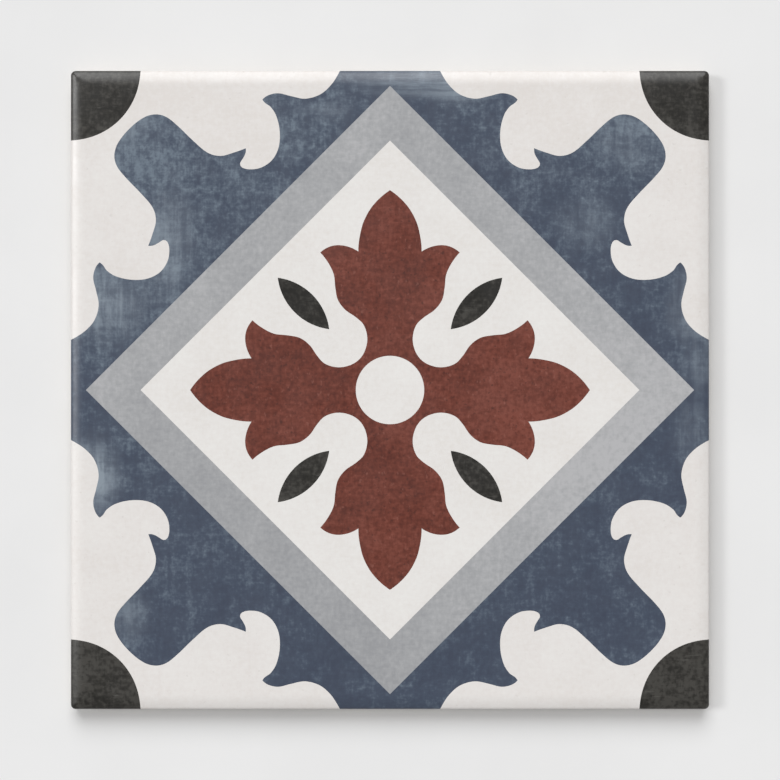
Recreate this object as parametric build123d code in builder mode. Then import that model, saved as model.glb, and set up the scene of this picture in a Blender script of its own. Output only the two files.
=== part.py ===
"""Cement-look floor tile: one dry-pressed, glazed porcelain stoneware tile, millimetres.

The tile lies face up. The origin is the centre of the back, +Z points out of the face,
and the four joint sides face +X, -X, +Y and -Y.
"""

import math
import os

from build123d import *

# Overall pressed size
tile_size = 200.0
thickness = 8.0
corner_radius = 1.5

# Border of the face: a shallow pillow that ends in a rounded arris
pillow_width = 4.0
pillow_fall = 0.7
arris_radius = 1.0

# Joint sides: drawn in towards the back below an upright band
draft_height = 3.5
draft_inset = 0.7

# Back relief: a waffle of shallow pockets that key into the bedding adhesive
pocket_size = 22.0
pocket_corner = 3.5
pocket_depth = 1.0
pocket_draft = 30.0
rib_width = 4.5
rim_width = 7.0

# Border of the face, worked out from its width and fall
half = tile_size / 2
pillow_radius = (pillow_width**2 + pillow_fall**2) / (2 * pillow_fall)
pillow_angle = math.asin(pillow_width / pillow_radius)
arc_start = 90 - math.degrees(pillow_angle)
arris_inset = arris_radius * (1 - math.sin(pillow_angle))
arris_height = thickness - pillow_fall - arris_radius * math.cos(pillow_angle)
flat_half = half - arris_inset - pillow_width

# Pockets that fit inside the rim of the drawn-in back
back_half = half - draft_inset
pocket_pitch = pocket_size + rib_width
pocket_count = int((2 * (back_half - rim_width) + rib_width) // pocket_pitch)

# Section of the tile, the same across both of its directions
with BuildSketch(Plane.XZ) as section:
    with BuildLine():
        Polyline((0, 0), (back_half, 0), (half, draft_height), (half, arris_height))
        CenterArc((half - arris_radius, arris_height), arris_radius, 0, arc_start)
        CenterArc((flat_half, thickness - pillow_radius), pillow_radius, arc_start, 90 - arc_start)
        Line((flat_half, thickness), (0, thickness))
        mirror(about=Plane.YZ)
    make_face()

with BuildPart() as tile:
    # The section runs both ways across the tile, so the pillow meets in mitres at the corners.
    extrude(section.sketch, amount=half, both=True)
    extrude(section.sketch.rotate(Axis.Z, 90), amount=half, both=True, mode=Mode.INTERSECT)

    # Plan corners
    with BuildSketch():
        RectangleRounded(tile_size, tile_size, corner_radius)
    extrude(amount=thickness, mode=Mode.INTERSECT)

    # Waffle of drafted pockets, which leaves crossing ribs inside a plain rim
    with BuildSketch():
        with GridLocations(pocket_pitch, pocket_pitch, pocket_count, pocket_count):
            RectangleRounded(pocket_size, pocket_size, pocket_corner)
    extrude(amount=pocket_depth, taper=pocket_draft, mode=Mode.SUBTRACT)

tile.part.label = "tile"
os.makedirs("parts", exist_ok=True)
export_step(tile.part, "parts/tile.step")
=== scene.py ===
"""Dresses the cement-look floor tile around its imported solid.

One closed mesh stands for the fired tile: the glazed face with its pillowed border and
printed ornament, the joint sides and the waffle back. Lengths are millimetres until the
mesh is made, and colours are written as 8-bit screen values.
"""

import math

import bmesh
import bpy
from mathutils import Matrix, Vector
from mathutils.geometry import delaunay_2d_cdt, interpolate_bezier


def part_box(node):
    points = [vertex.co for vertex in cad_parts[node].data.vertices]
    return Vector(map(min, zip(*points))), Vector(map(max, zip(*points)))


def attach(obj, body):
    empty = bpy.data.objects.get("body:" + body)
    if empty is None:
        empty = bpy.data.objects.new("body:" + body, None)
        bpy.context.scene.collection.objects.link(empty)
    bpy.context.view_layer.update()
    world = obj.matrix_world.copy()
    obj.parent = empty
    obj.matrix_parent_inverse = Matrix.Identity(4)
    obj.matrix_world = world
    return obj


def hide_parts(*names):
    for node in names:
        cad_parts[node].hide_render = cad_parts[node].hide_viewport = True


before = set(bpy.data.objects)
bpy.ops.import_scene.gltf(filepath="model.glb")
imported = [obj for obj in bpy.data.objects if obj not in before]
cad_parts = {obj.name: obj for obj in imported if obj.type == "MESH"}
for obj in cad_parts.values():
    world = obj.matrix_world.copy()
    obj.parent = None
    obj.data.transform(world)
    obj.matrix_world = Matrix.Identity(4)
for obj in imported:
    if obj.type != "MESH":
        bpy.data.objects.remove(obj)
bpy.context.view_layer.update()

# Sizes of the solid, with its half width and thickness taken from the frame
MM = 0.001
tile_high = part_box("tile")[1]
half = tile_high[0] / MM
thickness = tile_high[2] / MM
corner_radius = 1.5
pillow_width = 4.0
pillow_fall = 0.7
arris_radius = 1.0
draft_height = 3.5
draft_inset = 0.7
pocket_size = 22.0
pocket_corner = 3.5
pocket_depth = 1.0
pocket_draft = 30.0
rib_width = 4.5
rim_width = 7.0

# Border of the face, worked out as in the solid
pillow_radius = (pillow_width**2 + pillow_fall**2) / (2 * pillow_fall)
pillow_angle = math.asin(pillow_width / pillow_radius)
arris_inset = arris_radius * (1 - math.sin(pillow_angle))
arris_height = thickness - pillow_fall - arris_radius * math.cos(pillow_angle)
border_width = pillow_width + arris_inset

# Pockets that fit inside the rim of the drawn-in back, and the soft edges that pressing leaves there
back_half = half - draft_inset
pocket_pitch = pocket_size + rib_width
pocket_count = int((2 * (back_half - rim_width) + rib_width) // pocket_pitch)
back_softness = 0.3

# Plain figures of the ornament
band_outer = 95.1
band_inner = 78.0
disc_radius = 10.7
quarter_disc_radius = 21.9
leaf_inner_tip = 19.0
leaf_outer_tip = 35.1
leaf_half_width = 3.9

# Half of a fleuron, from its tip on +Y to the diagonal. Each line is smooth, and lines meet in corners.
fleuron_half = [
    [(0, 62.5), (5.0, 58.1), (8.1, 53.0), (9.5, 47.8), (9.9, 43.3)],
    [(9.9, 43.3), (13.0, 44.8), (16.3, 45.3), (19.2, 44.7), (21.8, 43.0)],
    [(21.8, 43.0), (19.4, 39.9), (17.6, 36.2), (17.1, 32.0), (16.3, 28.2), (14.0, 25.1),
     (10.6, 22.7), (8.2, 20.3), (7.1, 16.3), (7.8, 12.4), (9.6, 9.6)],
]

# Half of a scroll, from beyond the +Y side of the tile to the diagonal
scroll_half = [
    [(14.9, 102.0), (16.4, 98.5), (18.6, 95.2), (21.9, 92.4), (26.5, 91.1), (31.0, 91.9),
     (34.9, 92.8), (38.0, 92.2), (39.9, 90.8)],
    [(39.9, 90.8), (39.0, 89.7), (37.4, 88.6), (35.6, 85.8), (34.5, 81.0), (34.8, 76.0), (36.8, 72.0),
     (40.2, 69.6), (43.8, 69.0), (46.3, 69.6), (46.9, 70.8), (46.0, 72.4), (45.2, 74.0), (45.1, 75.6)],
    [(45.1, 75.6), (49.0, 74.2), (53.0, 73.2), (57.0, 74.2), (61.5, 77.9), (66.5, 82.7),
     (70.0, 85.4), (73.3, 86.2), (77.0, 85.2), (81.6, 81.6)],
]


# Outlines in plan

def turned(points, quarters):
    """The points turned anticlockwise about the tile's middle, by right angles."""
    cos, sin = ((1, 0), (0, 1), (-1, 0), (0, -1))[quarters % 4]
    return [Vector((p.x * cos - p.y * sin, p.x * sin + p.y * cos)) for p in points]


def swapped(points):
    """The points mirrored about the diagonal, in reverse order."""
    return [Vector((p[1], p[0])) for p in reversed(points)]


def smooth_line(points, step=0.7):
    """A smooth line through the points, as Bezier pieces cut about every step."""
    fewest_cuts = 3
    points = [Vector(p) for p in points]
    tangents = [(after - before).normalized() for before, after in zip(points, points[2:])]
    first_chord = (points[1] - points[0]).normalized()
    last_chord = (points[-1] - points[-2]).normalized()
    tangents.insert(0, 2 * tangents[0].dot(first_chord) * first_chord - tangents[0])
    tangents.append(2 * tangents[-1].dot(last_chord) * last_chord - tangents[-1])
    line = [points[0]]
    for i in range(len(points) - 1):
        start, end = points[i], points[i + 1]
        chord = (end - start).length
        leave = start + tangents[i] * chord / 3
        arrive = end - tangents[i + 1] * chord / 3
        cuts = max(fewest_cuts, math.ceil(chord / step) + 1)
        line += interpolate_bezier(start, leave, arrive, end, cuts)[1:]
    return line


def four_quarters(half_lines):
    """A closed outline from half a quarter of it: mirrored about the diagonal and turned three times."""
    start = []
    for points in half_lines[:-1]:
        start += smooth_line(points)[:-1]
    across = half_lines[-1]
    middle = smooth_line(across + swapped(across[:-1]))
    quarter = start + middle + swapped(start)
    return [p for turn in range(4) for p in turned(quarter[:-1], -turn)]


def arc(centre, radius, start, end, steps):
    """Points on an arc, angles in degrees."""
    angles = [math.radians(start + (end - start) * i / steps) for i in range(steps + 1)]
    return [Vector((centre[0] + radius * math.cos(a), centre[1] + radius * math.sin(a))) for a in angles]


def circle(centre, radius, steps=96):
    """A closed ring of points."""
    return arc(centre, radius, 0, 360, steps)[:-1]


def diamond(reach):
    """A square on its corner, with its corners on the axes."""
    return [Vector(p) for p in ((reach, 0), (0, reach), (-reach, 0), (0, -reach))]


def leaf(turn):
    """A pointed leaf on a diagonal, between two equal arcs."""
    middle = (leaf_inner_tip + leaf_outer_tip) / math.sqrt(2)
    reach = (leaf_outer_tip - leaf_inner_tip) / math.sqrt(2)
    radius = (reach**2 + leaf_half_width**2) / (2 * leaf_half_width)
    spread = math.degrees(math.asin(reach / radius))
    side = arc((middle, leaf_half_width - radius), radius, 90 - spread, 90 + spread, steps=24)
    outline = side[:-1] + [Vector((2 * middle - p.x, -p.y)) for p in side[:-1]]
    to_diagonal = Matrix.Rotation(math.radians(45), 2)
    return turned([to_diagonal @ p for p in outline], turn)


def rounded_square(reach, radius, stations, steps):
    """A square outline with round corners, and with points at the stations along each side."""
    clear = 0.05
    centre = reach - radius
    side = [Vector((reach, s)) for s in stations if abs(s) < centre - clear]
    if radius > 0:
        side += arc((centre, centre), radius, 0, 90, steps)
    else:
        side.append(Vector((reach, reach)))
    return [p for turn in range(4) for p in turned(side, turn)]


# Heights of the face

def edge_distance(x, y):
    """How far a point is in from the plan outline."""
    x, y = abs(x), abs(y)
    centre = half - corner_radius
    if x > centre and y > centre:
        return corner_radius - math.hypot(x - centre, y - centre)
    return half - max(x, y)


def face_height(x, y):
    """Height of the face at a point in plan: flat, then the pillow, then the arris."""
    distance = edge_distance(x, y)
    if distance >= border_width:
        return thickness
    if distance >= arris_inset:
        run = border_width - distance
        return thickness - pillow_radius + math.sqrt(pillow_radius**2 - run**2)
    run = arris_radius - max(distance, 0)
    return arris_height + math.sqrt(max(arris_radius**2 - run**2, 0))


def border_rings():
    """Distances in from the edge of the rings that carry the border's curve, from the flat to the edge."""
    guard = 0.25
    pillow_steps = 7
    arris_steps = 7
    rings = [border_width + guard]
    for i in range(pillow_steps):
        rings.append(border_width - pillow_width * i / pillow_steps)
    start = math.pi / 2 - pillow_angle
    for i in range(arris_steps):
        rings.append(arris_radius * (1 - math.cos(start * (1 - i / arris_steps))))
    return rings


# Steps down the sides and into the pockets

def softened(before, corner, after, cuts=5):
    """Points that round off a corner of a section."""
    before, corner, after = Vector(before), Vector(corner), Vector(after)
    return [before] + interpolate_bezier(before, corner, corner, after, cuts)[1:-1] + [after]


def side_reach(z):
    """Half the tile's width at a height of the joint sides, drawn in below the upright band."""
    return half - draft_inset * max(0, 1 - z / draft_height)


def side_profile():
    """Steps down a joint side, as (half width, height), to its soft edge on the back."""
    row_heights = (draft_height, 2.4, 1.3)
    rows = [Vector((side_reach(z), z)) for z in row_heights]
    edge_start = (side_reach(back_softness), back_softness)
    return rows + softened(edge_start, (back_half, 0), (back_half - back_softness, 0))


def pocket_profile():
    """Steps into a pocket, as (inset from its opening, height), soft at the rib and at the floor."""
    guard = Vector((0.15, 0))
    draft = math.radians(pocket_draft)
    wall = Vector((math.sin(draft), math.cos(draft))) * back_softness
    level = Vector((back_softness, 0))
    rib = Vector((0, 0))
    floor = Vector((pocket_depth * math.tan(draft), pocket_depth))
    rim = softened(rib - level, rib, rib + wall)
    foot = softened(floor - wall, floor, floor + level)
    return [rib - level - guard] + rim + foot


# Mesh of the tile

REGIONS = ["ground", "navy", "charcoal", "grey", "field", "red", "body"]


def new_object(name, data):
    """A new object with that data, linked to the scene."""
    made = bpy.data.objects.new(name, data)
    bpy.context.scene.collection.objects.link(made)
    return made


def triangulate(loops, rings=()):
    """Triangles over the loops: points, corner triples, and the loops that each triangle lies in."""
    whole_hull = 0
    snap_gap = 1e-4
    points = []
    faces = []
    edges = []
    for loop in loops:
        faces.append(list(range(len(points), len(points) + len(loop))))
        points += loop
    for ring in rings:
        first = len(points)
        edges += [(first + i, first + (i + 1) % len(ring)) for i in range(len(ring))]
        points += ring
    points, _, triangles, _, _, inside = delaunay_2d_cdt(points, edges, faces, whole_hull, snap_gap)
    return points, triangles, inside


def anticlockwise(loop):
    """The loop, reversed where it runs clockwise."""
    area = sum(a.x * b.y - b.x * a.y for a, b in zip(loop, loop[1:] + loop[:1]))
    return loop if area > 0 else loop[::-1]


def side_stations():
    """Places along a side: evenly spaced, and closer near its ends."""
    spacing = 2.0
    end_insets = (0.6, 1.2)
    count = int(half / spacing)
    stations = [spacing * i for i in range(-count + 1, count)]
    ends = [half - inset for inset in end_insets]
    return sorted(stations + ends + [-end for end in ends])


def figures():
    """The printed figures with their region, from the lowest to the topmost."""
    corners = [(half * sx, half * sy) for sx in (-1, 1) for sy in (-1, 1)]
    layers = [("navy", four_quarters(scroll_half))]
    layers += [("charcoal", circle(corner, quarter_disc_radius)) for corner in corners]
    layers += [("grey", diamond(band_outer)), ("field", diamond(band_inner))]
    layers += [("red", four_quarters(fleuron_half)), ("field", circle((0, 0), disc_radius))]
    layers += [("charcoal", leaf(turn)) for turn in range(4)]
    return [(region, anticlockwise(loop)) for region, loop in layers]


def boundary_loop(triangles):
    """The outer edge of the triangles, as one loop of point numbers."""
    sides = {(t[i], t[(i + 1) % 3]) for t in triangles for i in range(3)}
    follows = {a: b for a, b in sides if (b, a) not in sides}
    start = min(follows)
    loop = [start]
    while follows[loop[-1]] != start:
        loop.append(follows[loop[-1]])
    return loop


def drawn_in(point, reach):
    """A point of the plan outline, held within a smaller square."""
    return Vector([max(-reach, min(reach, c)) for c in point])


# Bake layout: the face takes most of the map, with the sides in a column and the back in a corner
face_share = 0.80
map_margin = 0.01
column_start = 0.83
column_step = 0.042


def face_uv(co):
    """Map of the printed face."""
    return [map_margin + face_share * (c / MM + half) / (2 * half) for c in co.xy]


def back_uv(co):
    """Map of the back and its pockets."""
    back_share = 1 - column_start - map_margin
    return [column_start + back_share * (c / MM + half) / (2 * half) for c in co.xy]


def side_uv(side):
    """Map of one joint side, numbered anticlockwise from +X."""
    def place(co):
        along = (co.y, -co.x, -co.y, co.x)[side]
        u = column_start + column_step * side + face_share * co.z / MM / (2 * half)
        v = map_margin + face_share * (along / MM + half) / (2 * half)
        return u, v
    return place


class TileMesh:
    """The tile's mesh under construction, from points in millimetres."""

    def __init__(self):
        self.bm = bmesh.new()
        self.uv_layer = self.bm.loops.layers.uv.new("OFBake")

    def vert(self, point, z):
        """A new vertex at a point in plan and a height."""
        return self.bm.verts.new((point[0] * MM, point[1] * MM, z * MM))

    def face(self, verts, region, place):
        """Adds a face to a region, with its corners placed on the bake map."""
        face = self.bm.faces.new(verts)
        face.smooth = True
        face.material_index = REGIONS.index(region)
        for loop in face.loops:
            loop[self.uv_layer].uv = place(loop.vert.co)

    def printed_face(self):
        """The face, cut along the figures' outlines and the border's rings. Returns its rim."""
        stations = side_stations()
        corner_steps = 8
        outline = rounded_square(half, corner_radius, stations, corner_steps)
        rings = [
            rounded_square(half - inset, max(corner_radius - inset, 0), stations, corner_steps)
            for inset in border_rings()
        ]
        layers = figures()
        points, triangles, inside = triangulate([outline] + [loop for _, loop in layers], rings)
        kept = [(t, max(loops)) for t, loops in zip(triangles, inside) if 0 in loops]
        verts = {n: self.vert(points[n], face_height(*points[n])) for t, _ in kept for n in t}
        for corners, top in kept:
            region = layers[top - 1][0] if top else "ground"
            self.face([verts[n] for n in corners], region, face_uv)
        return [(points[n], verts[n]) for n in boundary_loop([t for t, _ in kept])]

    def joint_sides(self, rim):
        """The four sides, row by row down from the rim of the face. Returns the outline of the back."""
        plan = [point for point, _ in rim]
        upper = [vert for _, vert in rim]
        profile = side_profile()
        for reach, z in profile:
            lower = [self.vert(drawn_in(p, reach), z) for p in plan]
            for i in range(len(plan)):
                j = (i + 1) % len(plan)
                middle = plan[i] + plan[j]
                side = round(math.degrees(math.atan2(middle.y, middle.x)) / 90) % 4
                self.face([upper[i], lower[i], lower[j], upper[j]], "body", side_uv(side))
            upper = lower
        shortest_edge = 0.01
        outline = [drawn_in(p, profile[-1][0]) for p in plan]
        befores = outline[-1:] + outline[:-1]
        return [p for p, before in zip(outline, befores) if (p - before).length > shortest_edge]

    def waffle_back(self, outline):
        """The back, with its grid of pockets."""
        places = [(i - (pocket_count - 1) / 2) * pocket_pitch for i in range(pocket_count)]
        centres = [Vector((x, y)) for x in places for y in places]
        profile = pocket_profile()
        opening = pocket_size / 2
        corner_steps = 5
        loops = [
            rounded_square(opening - inset, pocket_corner - inset, [0], corner_steps)
            for inset, _ in profile
        ]
        openings = [[p + centre for p in loops[0]] for centre in centres]
        points, triangles, inside = triangulate([outline] + openings)
        kept = [t for t, within in zip(triangles, inside) if within == [0]]
        verts = {n: self.vert(points[n], 0) for t in kept for n in t}
        for corners in kept:
            self.face([verts[n] for n in corners], "body", back_uv)
        for centre in centres:
            rows = [[self.vert(p + centre, z) for p in loop] for loop, (_, z) in zip(loops, profile)]
            for upper, lower in zip(rows, rows[1:]):
                for i in range(len(upper)):
                    j = (i + 1) % len(upper)
                    self.face([upper[i], upper[j], lower[j], lower[i]], "body", back_uv)
            self.face(rows[-1], "body", back_uv)

    def finished(self, name):
        """The mesh as an object, with its parts joined and its edges sharp where they turn hard."""
        merge_gap = 0.002 * MM
        sharp_angle = math.radians(30)
        bmesh.ops.remove_doubles(self.bm, verts=self.bm.verts, dist=merge_gap)
        bmesh.ops.recalc_face_normals(self.bm, faces=self.bm.faces)
        mesh = bpy.data.meshes.new(name)
        self.bm.to_mesh(mesh)
        self.bm.free()
        mesh.set_sharp_from_angle(angle=sharp_angle)
        return new_object(name, mesh)


def build_tile():
    """The whole tile as one closed mesh."""
    shell = TileMesh()
    rim = shell.printed_face()
    outline = shell.joint_sides(rim)
    shell.waffle_back(outline)
    return shell.finished("cement_tile")


# Materials

def srgb(red, green, blue):
    """A linear colour from 8-bit screen values."""
    def linear(value):
        value /= 255
        return value / 12.92 if value <= 0.04045 else ((value + 0.055) / 1.055) ** 2.4
    return (linear(red), linear(green), linear(blue), 1)


class Nodes:
    """Short ways to add nodes to a tree."""

    def __init__(self, tree):
        self.tree = tree

    def add(self, kind, inputs, **settings):
        """A new node with its settings, and with each input linked to a socket or set to a value."""
        node = self.tree.nodes.new(kind)
        for name, value in settings.items():
            setattr(node, name, value)
        for key, value in inputs.items():
            if isinstance(value, bpy.types.NodeSocket):
                self.tree.links.new(value, node.inputs[key])
            else:
                node.inputs[key].default_value = value
        return node

    def math(self, operation, a, b):
        """The result of an operation on two numbers."""
        return self.add("ShaderNodeMath", {0: a, 1: b}, operation=operation).outputs[0]

    def absolute(self, value):
        """The value without its sign."""
        return self.add("ShaderNodeMath", {0: value}, operation="ABSOLUTE").outputs[0]

    def total(self, *parts, start=0.0):
        """The start plus the sum of (socket, weight) pairs."""
        result = start
        for socket, weight in parts:
            term = self.add("ShaderNodeMath", {0: socket, 1: weight, 2: result}, operation="MULTIPLY_ADD")
            result = term.outputs[0]
        return result

    def between(self, value, low, high, to_low=0.0, to_high=1.0):
        """The value eased from low to high onto to_low to to_high."""
        inputs = {"Value": value, "From Min": low, "From Max": high, "To Min": to_low, "To Max": to_high}
        return self.add("ShaderNodeMapRange", inputs, interpolation_type="SMOOTHSTEP").outputs[0]


class Paint(Nodes):
    """A material under construction, with the tile's own millimetres as its coordinates."""

    def __init__(self, name):
        self.material = bpy.data.materials.new(name)
        self.material.use_nodes = True
        super().__init__(self.material.node_tree)
        self.shader = self.tree.nodes["Principled BSDF"]
        coordinates = self.add("ShaderNodeTexCoord", {})
        self.place = self.vector("MULTIPLY", coordinates.outputs["Object"], (1 / MM, 1 / MM, 1 / MM))
        self.axes = self.add("ShaderNodeSeparateXYZ", {0: self.place}).outputs

    def vector(self, operation, a, b):
        """The result of an operation on two vectors."""
        return self.add("ShaderNodeVectorMath", {0: a, 1: b}, operation=operation).outputs["Vector"]

    def noise(self, size, seed, detail=3.0, roughness=0.55, distortion=0.0):
        """Noise with features of that size, one number or one for each of x, y and z."""
        seed_step = (7.3, 3.1, 5.7)
        sizes = size if isinstance(size, tuple) else (size, size, size)
        scaled = self.vector("MULTIPLY", self.place, tuple(1 / s for s in sizes))
        shifted = self.vector("ADD", scaled, tuple(seed * step for step in seed_step))
        inputs = {"Vector": shifted, "Scale": 1.0, "Detail": detail, "Roughness": roughness}
        inputs["Distortion"] = distortion
        return self.add("ShaderNodeTexNoise", inputs).outputs[0]

    def ramp(self, value, stops):
        """The value as a colour, by stops of (position, colour)."""
        node = self.add("ShaderNodeValToRGB", {0: value})
        elements = node.color_ramp.elements
        while len(elements) < len(stops):
            elements.new(1.0)
        for element, (position, colour) in zip(elements, stops):
            element.position = position
            element.color = srgb(*colour)
        return node.outputs[0]

    def mix(self, factor, base, colour):
        """The base socket's colour, replaced by another colour as far as the factor says."""
        inputs = {"Factor": factor, 6: base, 7: srgb(*colour)}
        return self.add("ShaderNodeMix", inputs, data_type="RGBA").outputs[2]

    def spot(self, x, y, reach_x, reach_y):
        """1 at a place on the face, fading to 0 at its reach."""
        offset = self.vector("SUBTRACT", self.place, (x, y, 0))
        scaled = self.vector("MULTIPLY", offset, (1 / reach_x, 1 / reach_y, 0))
        length = self.add("ShaderNodeVectorMath", {0: scaled}, operation="LENGTH").outputs["Value"]
        return self.between(length, 0.0, 1.0, 1.0, 0.0)

    def smears(self, places, *streaks):
        """Wear of the print at places of (x, y, reach in x, reach in y, strength), broken up by streaks."""
        strength = self.total(*[(self.spot(*place[:4]), place[4]) for place in places])
        thin = self.between(self.total(*streaks), 0.40, 0.60, 0.3, 1.0)
        return self.math("MULTIPLY", strength, thin)

    def grain(self, seed):
        """Fine mottle of the print with a hint of crossed lines, about 0.5."""
        mottle = self.noise(1.5, seed, detail=2.0, roughness=0.6)
        across = self.noise((2.8, 0.6, 1.0), seed + 0.3, detail=2.0)
        along = self.noise((0.6, 2.8, 1.0), seed + 0.6, detail=2.0)
        return self.total((mottle, 0.6), (across, 0.2), (along, 0.2))

    def glaze(self, colour):
        """Satin glaze over a colour: uneven sheen and a fine orange peel."""
        sheen = self.noise(9.0, 21, detail=4.0)
        roughness = self.between(sheen, 0.3, 0.7, 0.30, 0.40)
        peel = self.noise(1.3, 22, detail=2.0)
        pits = self.noise(0.45, 23, detail=1.0)
        height = self.total((peel, 0.7), (pits, 0.3))
        self.finish(colour, roughness, self.bump(height, relief=0.03, strength=0.35))

    def bump(self, height, relief, strength):
        """A normal bent by a height from 0 to 1, with its relief in millimetres."""
        inputs = {"Strength": strength, "Distance": relief * MM, "Height": height}
        return self.add("ShaderNodeBump", inputs).outputs[0]

    def finish(self, colour, roughness, normal):
        """Joins what varies over the surface to the shader."""
        links = self.tree.links
        links.new(colour, self.shader.inputs["Base Color"])
        links.new(roughness, self.shader.inputs["Roughness"])
        links.new(normal, self.shader.inputs["Normal"])


def ground_paint():
    """Off-white ground with faint clouds and a few pale grey flecks, a little duller at the top."""
    paint = Paint("off_white_ground")
    head = paint.between(paint.axes["Y"], 50.0, 95.0, 0.02, -0.06)
    tone = paint.total((head, 1.0), (paint.noise(22.0, 1, detail=5.0), 0.4), (paint.grain(2), 0.6))
    clouds = paint.ramp(tone, [(0.38, (222, 217, 213)), (0.5, (226, 222, 219)), (0.62, (229, 226, 223))])
    flecks = paint.between(paint.noise(1.6, 3, detail=1.0), 0.70, 0.78, 0.0, 0.35)
    paint.glaze(paint.mix(flecks, clouds, (203, 198, 193)))
    return paint.material


def field_paint():
    """Whiter field inside the diamond."""
    paint = Paint("white_field")
    tone = paint.total((paint.noise(18.0, 4, detail=5.0), 0.4), (paint.grain(5), 0.6))
    clouds = paint.ramp(tone, [(0.38, (224, 220, 216)), (0.5, (228, 225, 222)), (0.62, (231, 229, 226))])
    paint.glaze(clouds)
    return paint.material


def navy_paint():
    """Navy wash: cloudy and brushed, thinner towards the top left, and worn pale in a few smears."""
    paint = Paint("navy_wash")
    x, y = paint.axes["X"], paint.axes["Y"]
    from_middle = paint.math("ADD", paint.absolute(x), paint.absolute(y))
    outer = paint.between(from_middle, 95.0, 150.0, 0.35, 1.0)
    lean = paint.between(paint.total((y, 1.0), (x, -0.6)), -60.0, 100.0)
    cloud = paint.noise(26.0, 6, detail=5.0, roughness=0.6, distortion=0.8)
    blotch = paint.noise(8.0, 28, detail=5.0, roughness=0.68, distortion=0.6)
    brush = paint.noise((30.0, 2.2, 8.0), 7, detail=4.0, roughness=0.65)
    drip = paint.noise((2.0, 20.0, 8.0), 8, detail=4.0, roughness=0.65)
    tone = paint.total(
        (paint.math("MULTIPLY", outer, lean), 0.34), (cloud, 0.85), (blotch, 1.15),
        (brush, 0.25), (drip, 0.50), (paint.grain(9), 1.60),
    )
    wash = paint.ramp(
        paint.between(tone, 1.75, 2.95),
        [(0.0, (59, 67, 84)), (0.38, (66, 76, 93)), (0.66, (83, 94, 109)), (1.0, (110, 123, 136))],
    )
    run_down = [
        (-93, -27, 12, 17, 1.0), (-88, 27, 15, 18, 1.0), (-70, 45, 12, 28, 0.8), (-82, 82, 11, 10, 0.5),
        (74, 78, 15, 12, 0.4), (62, 52, 14, 12, 0.35), (-91, -27, 6, 9, 0.5), (-82, -70, 9, 14, 0.5),
        (96, 26, 12, 17, 1.0), (95, -14, 9, 18, 0.4), (97, 7, 9, 11, 0.45),
    ]
    brushed = [(10, 96, 28, 6, 0.9), (-20, 87, 12, 5, 0.3), (22, 93, 14, 5, 0.6)]
    worn = paint.math(
        "ADD",
        paint.smears(run_down, (drip, 0.4), (brush, 0.2), (blotch, 0.4)),
        paint.smears(brushed, (brush, 0.8), (blotch, 0.2)),
    )
    paint.glaze(paint.mix(worn, wash, (134, 145, 156)))
    return paint.material


def grey_paint():
    """Cement grey band: paler at its left and right ends, darker at the bottom, and uneven by limbs."""
    paint = Paint("grey_band")
    cloud = paint.noise(16.0, 11, detail=5.0, roughness=0.6)
    x, y = paint.axes["X"], paint.axes["Y"]
    lean = paint.between(x, -90.0, 90.0, -0.043, 0.043)
    limbs = paint.between(paint.math("MULTIPLY", x, y), -1500.0, 1500.0, 0.023, -0.023)
    ends = paint.between(paint.absolute(x), 30.0, 85.0, -0.01, 0.04)
    foot = paint.between(y, -85.0, -40.0, -0.05, 0.0)
    tone = paint.total(
        (lean, 1.0), (limbs, 1.0), (ends, 1.0), (foot, 1.0), (cloud, 0.25), (paint.grain(12), 0.45),
    )
    band = paint.ramp(tone, [(0.23, (150, 151, 154)), (0.35, (164, 165, 167)), (0.47, (180, 180, 182))])
    paint.glaze(band)
    return paint.material


def red_paint():
    """Oxide red with a brown grain, darker specks and a little pale dust."""
    paint = Paint("oxide_red")
    cloud = paint.noise(12.0, 13, detail=4.0, roughness=0.6)
    lean = paint.between(paint.axes["X"], -20.0, 55.0, -0.01, 0.04)
    tone = paint.total((lean, 1.0), (cloud, 0.28), (paint.grain(14), 0.6))
    body = paint.ramp(tone, [(0.34, (85, 36, 25)), (0.44, (104, 49, 36)), (0.54, (122, 64, 51))])
    specks = paint.between(paint.noise(1.1, 15, detail=2.0), 0.60, 0.72, 0.0, 0.6)
    dust = paint.between(paint.noise((1.1, 1.8, 1.1), 10, detail=2.0), 0.62, 0.74, 0.0, 0.4)
    paint.glaze(paint.mix(dust, paint.mix(specks, body, (66, 28, 20)), (146, 92, 80)))
    return paint.material


def charcoal_paint():
    """Charcoal with pale smudges and thin scuffs, paler towards the bottom and darker in the leaves."""
    paint = Paint("charcoal")
    cloud = paint.noise(7.0, 16, detail=5.0, roughness=0.65)
    foot = paint.between(paint.axes["Y"], -50.0, 50.0, -0.03, -0.08)
    middle = paint.spot(0, 0, 100, 100)
    tone = paint.total((foot, 1.0), (middle, -0.03), (cloud, 0.4), (paint.grain(17), 0.75))
    body = paint.ramp(tone, [(0.42, (26, 24, 20)), (0.5, (40, 38, 34)), (0.60, (62, 60, 56))])
    strokes = paint.noise((7.0, 0.7, 2.0), 18, detail=3.0, distortion=1.2)
    scuffs = paint.between(strokes, 0.64, 0.74, 0.0, 0.4)
    paint.glaze(paint.mix(scuffs, body, (104, 102, 98)))
    return paint.material


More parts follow.
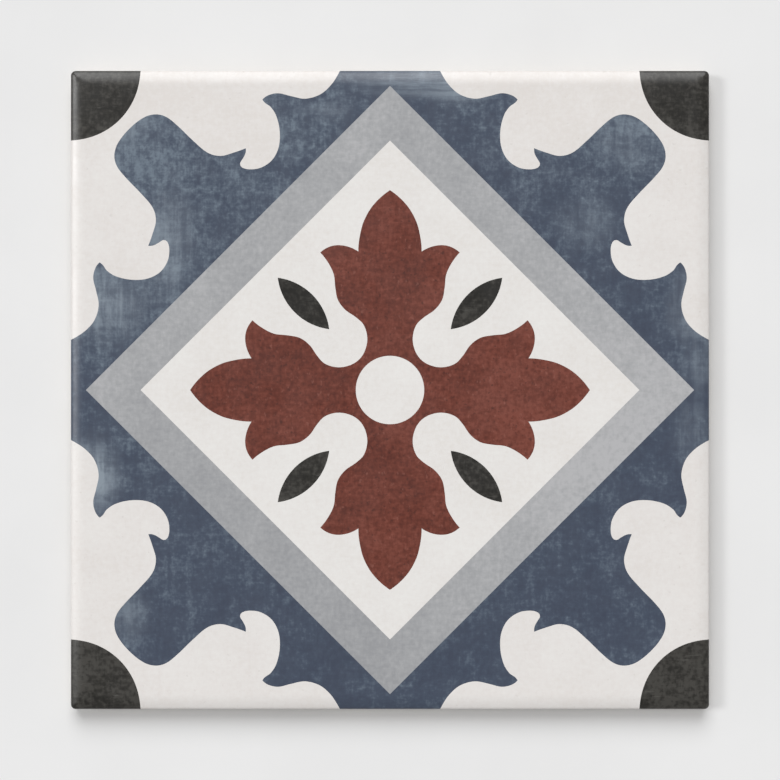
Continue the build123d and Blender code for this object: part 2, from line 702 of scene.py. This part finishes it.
def body_paint():
    """Bare pressed stoneware, with glaze run over the top of the sides and kiln wash on the back's ribs."""
    wash_height = 0.35
    wash_softness = 0.06
    glaze_run = 1.6
    glaze_softness = 0.15
    paint = Paint("stoneware_body")
    z = paint.axes["Z"]
    cloud = paint.noise(14.0, 19, detail=5.0)
    sand = paint.noise(0.5, 20, detail=2.0)
    clay = paint.ramp(
        paint.total((cloud, 0.5), (sand, 0.5)),
        [(0.36, (176, 166, 154)), (0.5, (190, 181, 169)), (0.64, (203, 195, 184))],
    )
    iron = paint.between(paint.noise(0.8, 24, detail=1.0), 0.70, 0.76, 0.0, 0.6)
    clay = paint.mix(iron, clay, (128, 108, 90))
    roller = paint.noise((3.0, 34.0, 8.0), 25, detail=4.0)
    streaks = paint.total((roller, 0.5), (paint.noise(4.0, 29, detail=5.0), 0.5))
    below_wash = paint.total((streaks, wash_height), (z, -1.0))
    wash_edge = paint.between(below_wash, -wash_softness, wash_softness, 0.0, 0.75)
    wash = paint.math("MULTIPLY", wash_edge, paint.between(streaks, 0.40, 0.58))
    clay = paint.mix(wash, clay, (226, 223, 217))
    glaze_line = paint.total((paint.noise((2.6, 2.6, 4.0), 26, detail=4.0), glaze_run), (z, 1.0))
    glazed = paint.between(glaze_line, arris_height - glaze_softness, arris_height + glaze_softness)
    colour = paint.mix(glazed, clay, (222, 218, 214))
    roughness = paint.between(glazed, 0.0, 1.0, 0.85, 0.45)
    paint.finish(colour, roughness, paint.bump(sand, relief=0.06, strength=0.6))
    return paint.material


def floor_paint(tone):
    """Plain matt floor, faintly uneven about an 8-bit grey."""
    unevenness = 2
    paint = Paint("studio_floor")
    dark = (tone - unevenness,) * 3
    light = (tone + unevenness,) * 3
    colour = paint.ramp(paint.noise(60.0, 27), [(0.3, dark), (0.7, light)])
    paint.tree.links.new(colour, paint.shader.inputs["Base Color"])
    paint.shader.inputs["Roughness"].default_value = 0.8
    paint.shader.inputs["Specular IOR Level"].default_value = 0.0
    return paint.material


def studio_world(sky_level, backdrop_level):
    """An even sky for light, with a pale backdrop near the horizon where it is seen or mirrored."""
    backdrop_top = 0.05
    backdrop_end = 0.30
    world = bpy.data.worlds.new("studio")
    world.use_nodes = True
    nodes = Nodes(world.node_tree)
    path = nodes.add("ShaderNodeLightPath", {}).outputs
    direction = nodes.add("ShaderNodeTexCoord", {}).outputs["Generated"]
    height = nodes.add("ShaderNodeSeparateXYZ", {0: direction}).outputs["Z"]
    seen = nodes.math("MAXIMUM", path["Is Camera Ray"], path["Is Glossy Ray"])
    seen = nodes.math("MAXIMUM", seen, path["Is Transmission Ray"])
    fade = nodes.between(height, backdrop_top, backdrop_end, 1.0, 0.0)
    backdrop = nodes.math("MULTIPLY", seen, fade)
    strength = nodes.total((backdrop, backdrop_level - sky_level), start=sky_level)
    background = world.node_tree.nodes["Background"]
    background.inputs["Color"].default_value = (1, 1, 1, 1)
    world.node_tree.links.new(strength, background.inputs["Strength"])
    return world


# Tile
PAINTS = {
    "ground": ground_paint,
    "navy": navy_paint,
    "charcoal": charcoal_paint,
    "grey": grey_paint,
    "field": field_paint,
    "red": red_paint,
    "body": body_paint,
}
tile = build_tile()
for region in REGIONS:
    tile.data.materials.append(PAINTS[region]())
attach(tile, "root")
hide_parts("tile")

# Floor, with its reach in metres and its tone as an 8-bit grey
floor_reach = 20.0
floor_tone = 231
corner_signs = ((-1, -1), (1, -1), (1, 1), (-1, 1))
floor_corners = [(floor_reach * sx, floor_reach * sy, 0) for sx, sy in corner_signs]
floor_mesh = bpy.data.meshes.new("floor")
floor_mesh.from_pydata(floor_corners, [], [(0, 1, 2, 3)])
floor_mesh.materials.append(floor_paint(floor_tone))
floor = new_object("floor", floor_mesh)

# Light: a wide soft lamp towards the top of the picture, a smaller one to the left, and an even sky.
# A level of 1 in all shows a colour as it is written.
sky_level = 0.37
lamps = {
    "key": {"level": 0.46, "direction": (-0.06, 0.68, 0.73), "spread": 42.0},
    "side": {"level": 0.19, "direction": (-0.66, 0.10, 0.74), "spread": 15.5},
}
for name, lamp in lamps.items():
    direction = Vector(lamp["direction"]).normalized()
    light = bpy.data.lights.new(name, "SUN")
    light.energy = lamp["level"] * math.pi / direction.z
    light.angle = math.radians(lamp["spread"])
    stand = new_object(name, light)
    stand.location = direction
    stand.rotation_euler = direction.to_track_quat("Z", "Y").to_euler()
lit_level = sky_level + sum(lamp["level"] for lamp in lamps.values())
floor_shade = srgb(floor_tone, floor_tone, floor_tone)[0]
bpy.context.scene.world = studio_world(sky_level, floor_shade * lit_level)

# Camera: straight down on the face, with the top of the photo towards +Y
frame_share = 0.82
lens = 100.0
sensor = 36.0
camera_data = bpy.data.cameras.new("camera")
camera_data.lens = lens
camera_data.sensor_width = sensor
camera = new_object("camera", camera_data)
camera.location = (0, 0, (thickness + 2 * half / frame_share * lens / sensor) * MM)
bpy.context.scene.camera = camera
bpy.context.scene.view_settings.view_transform = "Standard"
